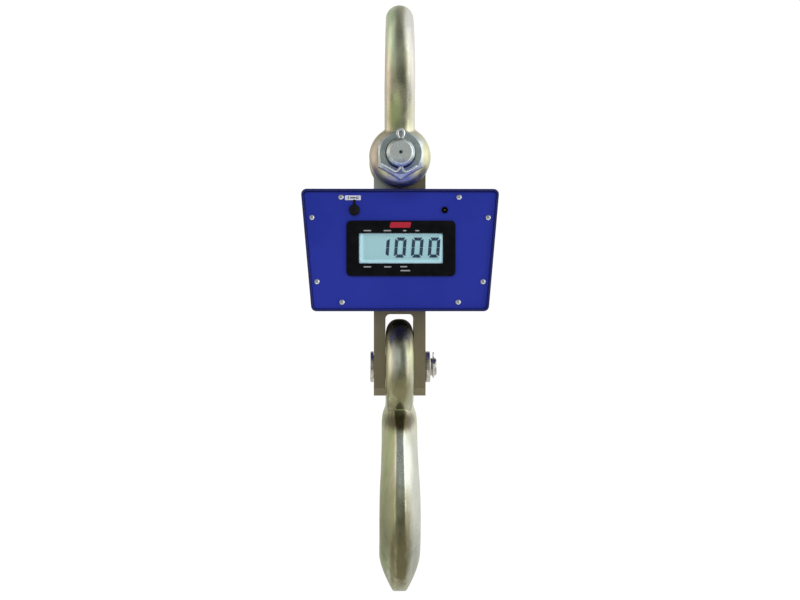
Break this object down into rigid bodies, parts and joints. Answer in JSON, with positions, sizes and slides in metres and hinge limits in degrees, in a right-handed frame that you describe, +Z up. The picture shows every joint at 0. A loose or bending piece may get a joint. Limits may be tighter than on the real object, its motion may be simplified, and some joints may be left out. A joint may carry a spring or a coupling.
{
  "type": "crane scale",
  "caption": "Hanging crane scale: bolt-type shackle, load bar through a tapered sheet-metal housing with an LCD, and a latched eye hook on a fork pin.",
  "frame": {"origin": "inside of the shackle's crown, where a crane hook bears, on the scale's vertical axis", "axes": "+Z up; -Y out of the display towards the reader; +X to the reader's right"},
  "size_m": [0.2518, 0.1958, 0.764],
  "materials": {
    "yellow_zinc": "forged steel, zinc plated with a yellow-green passivation",
    "blue_zinc": "bright zinc plate with a bluish cast",
    "machined_steel": "machined and satin, brown-grey",
    "blue_paint": "satin cobalt-blue powder coat",
    "rubber": "matt black rubber",
    "black_plastic": "semi-gloss black",
    "clear_window": "clear polished acrylic",
    "display_glass": "pale blue-grey liquid crystal cell",
    "circuit_board": "green solder mask",
    "label": "white printed plate",
    "steel": "bright plated steel",
    "battery_case": "dark grey moulded case",
    "cable": "dark PVC sheath"
  },
  "bodies": {
    "shackle": {"shackle_bow": "yellow_zinc"},
    "bolt_set": {"shackle_bolt": "blue_zinc", "shackle_nut": "blue_zinc", "shackle_split_pin": "blue_zinc"},
    "scale_body": {"load_bar": "machined_steel", "gauge_cover_front": "steel", "gauge_cover_rear": "steel", "housing_shell": "blue_paint", "cover_frame": "blue_paint", "front_cover": "blue_paint", "cover_gasket": "rubber", "top_seal": "rubber", "bottom_seal": "rubber", "display_bezel": "black_plastic", "display_lens": "clear_window", "lcd_glass": "display_glass", "display_board": "circuit_board", "switch_body": "black_plastic", "switch_boot": "rubber", "switch_plate": "label", "charging_jack": "black_plastic", "charging_jack_nut": "steel", "bracket_left": "steel", "bracket_right": "steel", "battery_pack": "battery_case", "battery_strap": "steel", "load_cell_lead": "cable", "battery_lead": "cable", "cover_screw_1": "steel", "cover_screw_2": "steel", "cover_screw_3": "steel", "cover_screw_4": "steel", "cover_screw_5": "steel", "cover_screw_6": "steel", "cover_screw_7": "steel", "cover_screw_8": "steel", "board_standoff_1": "steel", "board_standoff_2": "steel", "board_standoff_3": "steel", "board_standoff_4": "steel", "bracket_bolt_left_1": "steel", "bracket_bolt_left_2": "steel", "bracket_bolt_right_1": "steel", "bracket_bolt_right_2": "steel"},
    "pin_set": {"hook_pin": "machined_steel", "hook_pin_washer": "machined_steel", "hook_pin_split_pin": "steel"},
    "hook_assembly": {"hook": "yellow_zinc", "latch_rivet": "steel", "latch_spring": "steel"},
    "latch": {"hook_latch": "blue_zinc"},
    "lever": {"switch_lever": "steel"}
  },
  "joints": [
    {"name": "shackle_bolt_turn", "type": "hinge", "parent": "shackle", "child": "bolt_set", "pos_m": [0, 0, -0.165], "axis": [0, 1, 0], "continuous": true},
    {"name": "load_bar_swing", "type": "hinge", "parent": "shackle", "child": "scale_body", "pos_m": [0, 0, -0.165], "axis": [0, 1, 0], "range_deg": [-90, 90]},
    {"name": "hook_pin_turn", "type": "hinge", "parent": "scale_body", "child": "pin_set", "pos_m": [0, 0, -0.436], "axis": [1, 0, 0], "continuous": true},
    {"name": "hook_swing", "type": "hinge", "parent": "scale_body", "child": "hook_assembly", "pos_m": [0, 0, -0.436], "axis": [1, 0, 0], "range_deg": [-85, 85]},
    {"name": "hook_latch_swing", "type": "hinge", "parent": "hook_assembly", "child": "latch", "pos_m": [0, 0.0102, -0.535], "axis": [-1, 0, 0], "range_deg": [0, 50], "stiffness_Nm_per_rad": 0.12, "springref_deg": -57.3, "deforming": ["latch_spring"]},
    {"name": "switch_toggle", "type": "hinge", "parent": "scale_body", "child": "lever", "pos_m": [-0.0583, -0.051, -0.2338], "axis": [1, 0, 0], "range_deg": [0, 52], "deforming": ["switch_boot"]}
  ]
}
